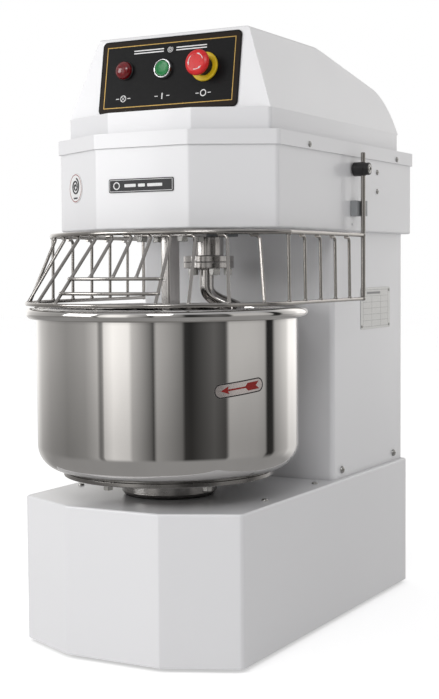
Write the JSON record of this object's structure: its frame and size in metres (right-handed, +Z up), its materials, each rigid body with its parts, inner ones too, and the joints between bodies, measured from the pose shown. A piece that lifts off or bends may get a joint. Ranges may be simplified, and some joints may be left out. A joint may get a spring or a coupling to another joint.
{
  "type": "spiral dough mixer",
  "caption": "Floor-standing spiral dough mixer: a turning bowl and spiral hook with a fixed breaker bar, under a lifting wire guard and a raised control head.",
  "frame": {"origin": "on the floor, under the middle of the bounding box", "axes": "+Z up, front faces -Y, +X to the right of someone facing along +Y"},
  "size_m": [0.446, 0.762, 0.939],
  "materials": {
    "white_paint": "gloss enamel",
    "back_panel_paint": "gloss enamel",
    "polished_bowl": "polished stainless",
    "wire_steel": "bright stainless wire",
    "tool_steel": "satin stainless",
    "zinc_fasteners": "zinc plated",
    "machined_steel": "turned steel",
    "bearing_steel": "ground steel",
    "cast_housing": "painted casting",
    "frame_paint": "matt primer",
    "motor_paint": "satin enamel",
    "belt_rubber": "ribbed rubber",
    "foot_rubber": "moulded rubber",
    "black_plastic": "moulded nylon",
    "control_plate_print": "printed panel",
    "lens_red": "dark red lens",
    "bezel_chrome": "bright bezel",
    "button_green": "gloss",
    "stop_yellow": "gloss",
    "stop_red": "gloss",
    "grey_plastic": "moulded",
    "label_metal": "printed plate"
  },
  "bodies": {
    "machine": {"base_housing": "white_paint", "base_floor_plate": "frame_paint", "feet": "foot_rubber", "foot_studs": "zinc_fasteners", "base_top_screws": "zinc_fasteners", "column_shell": "white_paint", "column_back_cover": "back_panel_paint", "back_cover_screws": "zinc_fasteners", "column_screws": "zinc_fasteners", "cable_gland": "black_plastic", "head_casing": "white_paint", "drive_plate": "frame_paint", "plate_spacers": "machined_steel", "top_cover": "white_paint", "head_screws": "zinc_fasteners", "control_plate": "control_plate_print", "lamp_holder": "black_plastic", "lamp_lens": "lens_red", "start_bezel": "bezel_chrome", "stop_base": "stop_yellow", "contact_blocks": "grey_plastic", "nameplate": "label_metal", "round_badge": "label_metal", "rating_plate": "label_metal", "rating_plate_rivets": "zinc_fasteners", "electrical_box": "grey_plastic", "guard_pivot_pins": "zinc_fasteners", "guard_stops": "grey_plastic", "guard_switch": "grey_plastic", "bowl_bearing_housing": "cast_housing", "bowl_bearings": "bearing_steel", "bowl_seal": "foot_rubber", "bowl_belt": "belt_rubber", "breaker_bar": "tool_steel", "breaker_bolts": "zinc_fasteners", "hook_bearing_housing": "cast_housing", "hook_bearings": "bearing_steel", "hook_belt": "belt_rubber", "layshaft_bearing_units": "cast_housing", "countershaft_housing": "cast_housing", "counter_belt": "belt_rubber", "motor_body": "motor_paint", "motor_belt": "belt_rubber"},
    "guard": {"guard_cage": "wire_steel", "guard_wires": "wire_steel", "guard_hubs": "black_plastic"},
    "bowl": {"bowl": "polished_bowl", "turntable": "machined_steel", "turntable_bolts": "zinc_fasteners", "bowl_spindle": "machined_steel", "bowl_pulley": "cast_housing"},
    "hook": {"spiral_hook": "tool_steel", "hook_bolts": "zinc_fasteners", "hook_spindle": "tool_steel", "hook_pulley": "cast_housing"},
    "layshaft": {"layshaft": "machined_steel"},
    "countershaft": {"countershaft": "machined_steel"},
    "motor_rotor": {"motor_rotor": "machined_steel"},
    "start_button": {"start_button": "button_green"},
    "stop_button": {"stop_button": "stop_red"}
  },
  "joints": [
    {"name": "guard_swing", "type": "hinge", "parent": "machine", "child": "guard", "pos_m": [0, 0.111, 0.737], "axis": [-1, 0, 0], "range_deg": [0, 80]},
    {"name": "bowl_spin", "type": "hinge", "parent": "machine", "child": "bowl", "pos_m": [0, -0.16, 0.3], "axis": [0, 0, -1], "continuous": true},
    {"name": "hook_spin", "type": "hinge", "parent": "machine", "child": "hook", "pos_m": [0, -0.03, 0.3], "axis": [0, 0, -1], "continuous": true},
    {"name": "layshaft_spin", "type": "hinge", "parent": "machine", "child": "layshaft", "pos_m": [0.095, 0.128, 0.3], "axis": [0, 0, -1], "continuous": true},
    {"name": "countershaft_spin", "type": "hinge", "parent": "machine", "child": "countershaft", "pos_m": [-0.04, 0.023, 0.3], "axis": [0, 0, -1], "continuous": true},
    {"name": "motor_spin", "type": "hinge", "parent": "machine", "child": "motor_rotor", "pos_m": [-0.06, 0.248, 0.3], "axis": [0, 0, -1], "continuous": true},
    {"name": "start_press", "type": "slide", "parent": "machine", "child": "start_button", "axis": [0, 0.9871, -0.1603], "range_m": [0, 0.003], "stiffness_N_per_m": 300, "springref_m": -0.003},
    {"name": "stop_press", "type": "slide", "parent": "machine", "child": "stop_button", "axis": [0, 0.9871, -0.1603], "range_m": [0, 0.005]}
  ],
  "couplings": [
    {"joint": "countershaft_spin", "follows": "bowl_spin", "ratio": 6},
    {"joint": "layshaft_spin", "follows": "bowl_spin", "ratio": 21.429},
    {"joint": "hook_spin", "follows": "bowl_spin", "ratio": 8.8235},
    {"joint": "motor_spin", "follows": "bowl_spin", "ratio": 61.224}
  ]
}
